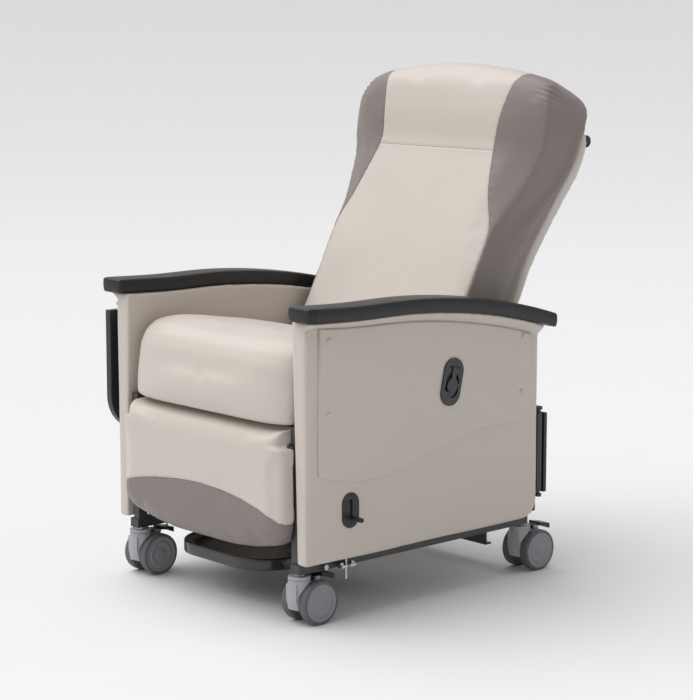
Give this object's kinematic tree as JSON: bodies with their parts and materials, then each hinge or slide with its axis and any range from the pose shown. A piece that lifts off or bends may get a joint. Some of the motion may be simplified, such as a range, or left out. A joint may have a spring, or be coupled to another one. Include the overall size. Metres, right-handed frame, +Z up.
{
  "type": "patient recliner chair",
  "caption": "Upholstered medical recliner on braked casters, with swing-away arms, reclining back and leg rest, folding side tray and sliding foot tray.",
  "frame": {"origin": "on the floor, under the middle of the chair's overall box", "axes": "+X is the occupant's left, -Y is the front that the occupant faces, +Z is up"},
  "size_m": [0.77, 1.0268, 1.2177],
  "materials": {
    "frame_paint": "satin",
    "steel": "brushed",
    "black_plastic": "fine texture",
    "armrest_urethane": "satin moulded skin",
    "vinyl_light": "soft grain",
    "vinyl_taupe": "soft grain",
    "plywood": "plain",
    "caster_grey": "smooth",
    "wheel_grey": "smooth",
    "tray_black": "fine texture"
  },
  "bodies": {
    "base": {"side_frame_left": "frame_paint", "side_frame_right": "frame_paint", "front_cross_tube": "frame_paint", "middle_cross_tube": "frame_paint", "rear_cross_tube": "frame_paint", "rear_cross_panel": "frame_paint", "tray_rails": "frame_paint", "pivot_pins": "steel", "caster_stems": "steel", "hinge_post_left": "frame_paint", "hinge_post_right": "frame_paint", "hinge_cover_left": "black_plastic", "hinge_cover_right": "black_plastic", "latch_keeper_left": "steel", "latch_keeper_right": "steel", "seat_board": "plywood", "seat_cushion": "vinyl_light", "gas_cylinder": "black_plastic"},
    "recline_rod": {"gas_rod": "steel"},
    "drive_link_left": {"drive_link_left": "steel"},
    "drive_link_right": {"drive_link_right": "steel"},
    "legrest": {"legrest_frame": "frame_paint", "legrest_cushion": "vinyl_light"},
    "foot_tray": {"foot_tray": "tray_black"},
    "back": {"back_frame": "frame_paint", "back_cushion": "vinyl_light", "back_wing_left": "vinyl_taupe", "back_wing_right": "vinyl_taupe", "back_shell": "vinyl_light", "push_bar": "black_plastic"},
    "arm_left": {"arm_panel_left": "vinyl_light", "arm_frame_left": "frame_paint", "armrest_left": "armrest_urethane", "side_cover_left": "vinyl_light", "cover_screws_left": "vinyl_light", "latch_plate_left": "black_plastic", "recline_bezel": "black_plastic"},
    "arm_right": {"arm_panel_right": "vinyl_light", "arm_frame_right": "frame_paint", "armrest_right": "armrest_urethane", "side_cover_right": "vinyl_light", "cover_screws_right": "vinyl_light", "latch_plate_right": "black_plastic", "tray_brackets": "frame_paint"},
    "latch_left": {"latch_lever_left": "steel"},
    "latch_right": {"latch_lever_right": "steel"},
    "recline_handle": {"recline_paddle": "black_plastic"},
    "side_tray": {"side_tray": "tray_black"},
    "caster_1": {"caster_body_1": "caster_grey"},
    "wheels_1": {"twin_wheels_1": "wheel_grey"},
    "pedal_1": {"brake_pedal_1": "black_plastic"},
    "caster_2": {"caster_body_2": "caster_grey"},
    "wheels_2": {"twin_wheels_2": "wheel_grey"},
    "pedal_2": {"brake_pedal_2": "black_plastic"},
    "caster_3": {"caster_body_3": "caster_grey"},
    "wheels_3": {"twin_wheels_3": "wheel_grey"},
    "pedal_3": {"brake_pedal_3": "black_plastic"},
    "caster_4": {"caster_body_4": "caster_grey"},
    "wheels_4": {"twin_wheels_4": "wheel_grey"},
    "pedal_4": {"brake_pedal_4": "black_plastic"}
  },
  "joints": [
    {"name": "back_recline", "type": "hinge", "parent": "base", "child": "back", "pos_m": [0, 0.0575, 0.44], "axis": [-1, 0, 0], "range_deg": [0, 40]},
    {"name": "legrest_lift", "type": "hinge", "parent": "base", "child": "legrest", "pos_m": [0, -0.4745, 0.402], "axis": [-1, 0, 0], "range_deg": [0, 80]},
    {"name": "recline_rod_slide", "type": "slide", "parent": "base", "child": "recline_rod", "axis": [0, -1, 0], "range_m": [0, 0.042]},
    {"name": "drive_link_left_pivot", "type": "hinge", "parent": "back", "child": "drive_link_left", "pos_m": [0.26, 0.0725, 0.382], "axis": [1, 0, 0], "range_deg": [0, 40]},
    {"name": "drive_link_right_pivot", "type": "hinge", "parent": "back", "child": "drive_link_right", "pos_m": [-0.26, 0.0725, 0.382], "axis": [1, 0, 0], "range_deg": [0, 40]},
    {"name": "foot_tray_slide", "type": "slide", "parent": "base", "child": "foot_tray", "axis": [0, -1, 0], "range_m": [0, 0.215]},
    {"name": "arm_left_swing", "type": "hinge", "parent": "base", "child": "arm_left", "pos_m": [0.338, 0.2695, 0.3], "axis": [0, 0, 1], "range_deg": [0, 90]},
    {"name": "arm_right_swing", "type": "hinge", "parent": "base", "child": "arm_right", "pos_m": [-0.338, 0.2695, 0.3], "axis": [0, 0, -1], "range_deg": [0, 90]},
    {"name": "latch_left_lift", "type": "slide", "parent": "arm_left", "child": "latch_left", "axis": [0, 0, 1], "range_m": [0, 0.03], "stiffness_N_per_m": 60, "springref_m": -0.02},
    {"name": "latch_right_lift", "type": "slide", "parent": "arm_right", "child": "latch_right", "axis": [0, 0, 1], "range_m": [0, 0.03], "stiffness_N_per_m": 60, "springref_m": -0.02},
    {"name": "recline_handle_pull", "type": "hinge", "parent": "arm_left", "child": "recline_handle", "pos_m": [0.3508, -0.03343, 0.54026], "axis": [0, -0.9781, 0.2079], "range_deg": [0, 25], "stiffness_Nm_per_rad": 0.1, "springref_deg": -17.19},
    {"name": "side_tray_lift", "type": "hinge", "parent": "arm_right", "child": "side_tray", "pos_m": [-0.36, -0.2955, 0.645], "axis": [0, 1, 0], "range_deg": [0, 90]},
    {"name": "caster_1_swivel", "type": "hinge", "parent": "base", "child": "caster_1", "pos_m": [0.294, -0.458, 0.1], "axis": [0, 0, 1], "continuous": true},
    {"name": "caster_1_roll", "type": "hinge", "parent": "caster_1", "child": "wheels_1", "pos_m": [0.294, -0.427, 0.05], "axis": [1, 0, 0], "continuous": true},
    {"name": "caster_1_brake", "type": "hinge", "parent": "caster_1", "child": "pedal_1", "pos_m": [0.294, -0.416, 0.101], "axis": [-1, 0, 0], "range_deg": [0, 12]},
    {"name": "caster_2_swivel", "type": "hinge", "parent": "base", "child": "caster_2", "pos_m": [-0.294, -0.458, 0.1], "axis": [0, 0, 1], "continuous": true},
    {"name": "caster_2_roll", "type": "hinge", "parent": "caster_2", "child": "wheels_2", "pos_m": [-0.294, -0.427, 0.05], "axis": [1, 0, 0], "continuous": true},
    {"name": "caster_2_brake", "type": "hinge", "parent": "caster_2", "child": "pedal_2", "pos_m": [-0.294, -0.416, 0.101], "axis": [-1, 0, 0], "range_deg": [0, 12]},
    {"name": "caster_3_swivel", "type": "hinge", "parent": "base", "child": "caster_3", "pos_m": [0.294, 0.253, 0.1], "axis": [0, 0, 1], "continuous": true},
    {"name": "caster_3_roll", "type": "hinge", "parent": "caster_3", "child": "wheels_3", "pos_m": [0.294, 0.284, 0.05], "axis": [1, 0, 0], "continuous": true},
    {"name": "caster_3_brake", "type": "hinge", "parent": "caster_3", "child": "pedal_3", "pos_m": [0.294, 0.295, 0.101], "axis": [-1, 0, 0], "range_deg": [0, 12]},
    {"name": "caster_4_swivel", "type": "hinge", "parent": "base", "child": "caster_4", "pos_m": [-0.294, 0.253, 0.1], "axis": [0, 0, 1], "continuous": true},
    {"name": "caster_4_roll", "type": "hinge", "parent": "caster_4", "child": "wheels_4", "pos_m": [-0.294, 0.284, 0.05], "axis": [1, 0, 0], "continuous": true},
    {"name": "caster_4_brake", "type": "hinge", "parent": "caster_4", "child": "pedal_4", "pos_m": [-0.294, 0.295, 0.101], "axis": [-1, 0, 0], "range_deg": [0, 12]}
  ],
  "couplings": [
    {"joint": "legrest_lift", "follows": "back_recline", "ratio": 2},
    {"joint": "recline_rod_slide", "follows": "back_recline", "m_per_rad": 0.05873},
    {"joint": "drive_link_left_pivot", "follows": "back_recline", "ratio": 1},
    {"joint": "drive_link_right_pivot", "follows": "back_recline", "ratio": 1}
  ]
}
